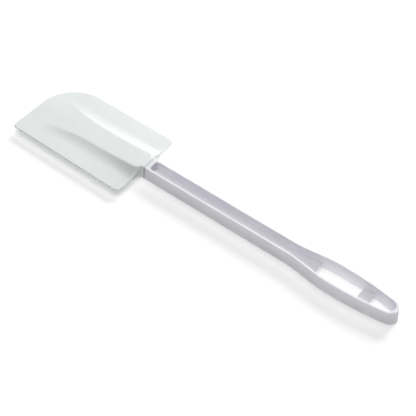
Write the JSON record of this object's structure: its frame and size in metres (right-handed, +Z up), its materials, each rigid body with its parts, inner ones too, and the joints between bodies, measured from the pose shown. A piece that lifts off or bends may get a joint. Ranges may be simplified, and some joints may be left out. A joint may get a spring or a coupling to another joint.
{
  "type": "bench scraper",
  "caption": "Long-handled scraper with a flat flexible blade, one large rounded blade corner and a windowed hanging loop at the end of its channelled handle.",
  "frame": {"origin": "centre of the bounding box in X and Y, on the surface the tool lies on", "axes": "+X from the blade's tip towards the hanging loop, +Y towards the blade's large rounded corner, +Z up out of the surface"},
  "size_m": [0.3429, 0.0685, 0.0128],
  "materials": {
    "handle": "satin moulded plastic, slightly lilac white",
    "blade": "soft satin elastomer, slightly greenish white"
  },
  "bodies": {
    "root": {"handle": "handle", "blade": "blade"}
  },
  "joints": []
}
